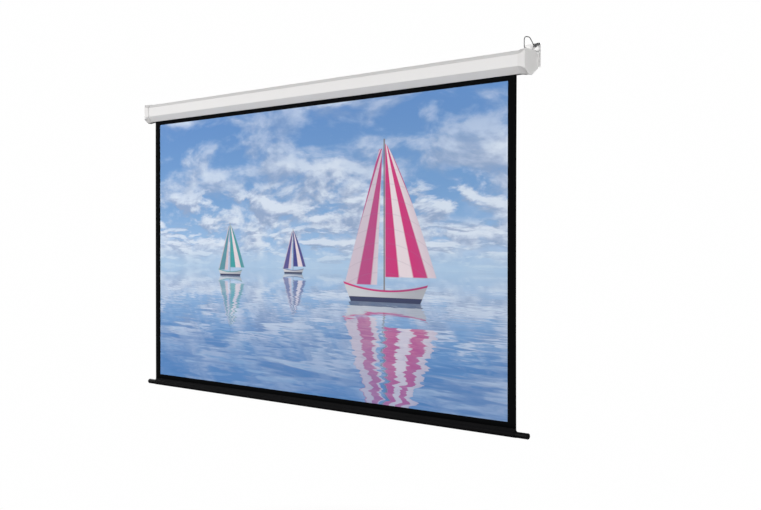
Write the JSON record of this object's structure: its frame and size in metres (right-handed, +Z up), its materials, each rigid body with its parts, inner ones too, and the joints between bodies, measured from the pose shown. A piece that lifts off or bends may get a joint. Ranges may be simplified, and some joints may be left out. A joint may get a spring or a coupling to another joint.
{
  "type": "pull down projector screen",
  "caption": "Wall-hung spring-roller projection screen: folded case with end caps, roller, black-bordered cloth, weight bar, wall plates and a wire lock bail",
  "frame": {"origin": "On the wall plane, midway between the two wall plates, level with the middle of the case's upright front face.", "axes": "+X along the case to the right as the viewer sees it, +Y into the wall, +Z up."},
  "size_m": [2.431, 0.08, 1.4489],
  "materials": {
    "white_case_enamel": "white powder-coated folded steel, satin",
    "white_end_cap": "moulded white plastic, satin",
    "wall_plate_enamel": "pale powder-coated steel plate",
    "zinc_fastener": "zinc-plated steel",
    "bail_wire": "bright drawn steel wire",
    "dark_clip": "dark grey moulded plastic",
    "zinc_steel": "zinc-plated pressed steel",
    "roller_steel": "galvanised roll-formed tube",
    "ratchet_steel": "sintered steel",
    "spring_steel": "oiled spring wire",
    "nylon_moulding": "natural nylon",
    "dark_bush": "dark acetal",
    "black_backed_cloth": "matt black coated cloth",
    "screen_cloth": "matt front with a pale blue picture inside a black border, black back",
    "black_bar_enamel": "black satin enamel on steel tube",
    "black_bar_plug": "black moulded plastic"
  },
  "bodies": {
    "root": {"case_shell": "white_case_enamel", "left_end_cap": "white_end_cap", "right_end_cap": "white_end_cap", "left_cap_screw": "zinc_fastener", "right_cap_screw": "zinc_fastener", "left_wall_plate": "wall_plate_enamel", "right_wall_plate": "wall_plate_enamel", "bail_catch": "dark_clip", "catch_rivet": "zinc_fastener", "left_bearing_plate": "zinc_steel", "right_bearing_plate": "zinc_steel", "left_bearing_screw_upper": "zinc_fastener", "left_bearing_screw_lower": "zinc_fastener", "right_bearing_screw_upper": "zinc_fastener", "right_bearing_screw_lower": "zinc_fastener", "idler_pin": "zinc_steel", "spring_spindle": "zinc_steel", "ratchet_wheel": "ratchet_steel", "spring_anchor": "nylon_moulding", "torsion_spring": "spring_steel"},
    "roller": {"roller_tube": "roller_steel", "fabric_spline": "nylon_moulding", "wound_fabric": "black_backed_cloth", "left_roller_plug": "nylon_moulding", "idler_bush": "dark_bush", "roller_drive_plug": "nylon_moulding", "pawl_pin_a": "zinc_steel", "pawl_pin_b": "zinc_steel"},
    "pawl_a": {"pawl_a": "ratchet_steel"},
    "pawl_b": {"pawl_b": "ratchet_steel"},
    "weight_bar": {"screen_fabric": "screen_cloth", "hem_sleeve": "black_backed_cloth", "bar_tube": "black_bar_enamel", "left_bar_plug": "black_bar_plug", "right_bar_plug": "black_bar_plug"},
    "bail": {"lock_bail": "bail_wire"}
  },
  "joints": [
    {"name": "screen_pull", "type": "slide", "parent": "root", "child": "weight_bar", "axis": [0, 0, 1], "range_m": [0, 1.2889], "deforming": ["screen_fabric"]},
    {"name": "roller_spin", "type": "hinge", "parent": "root", "child": "roller", "pos_m": [0, -0.03075, 0], "axis": [1, 0, 0], "range_deg": [-3240, 0]},
    {"name": "pawl_a_swing", "type": "hinge", "parent": "roller", "child": "pawl_a", "pos_m": [1.1803, -0.03075, 0.015], "axis": [1, 0, 0], "range_deg": [0, 18]},
    {"name": "pawl_b_swing", "type": "hinge", "parent": "roller", "child": "pawl_b", "pos_m": [1.1803, -0.03075, -0.015], "axis": [1, 0, 0], "range_deg": [0, 18]},
    {"name": "bail_swing", "type": "hinge", "parent": "root", "child": "bail", "pos_m": [1.201, 0, 0.0416], "axis": [0, 1, 0], "range_deg": [-90, 0]}
  ],
  "couplings": [
    {"joint": "roller_spin", "follows": "screen_pull", "rad_per_m": -43.873}
  ]
}
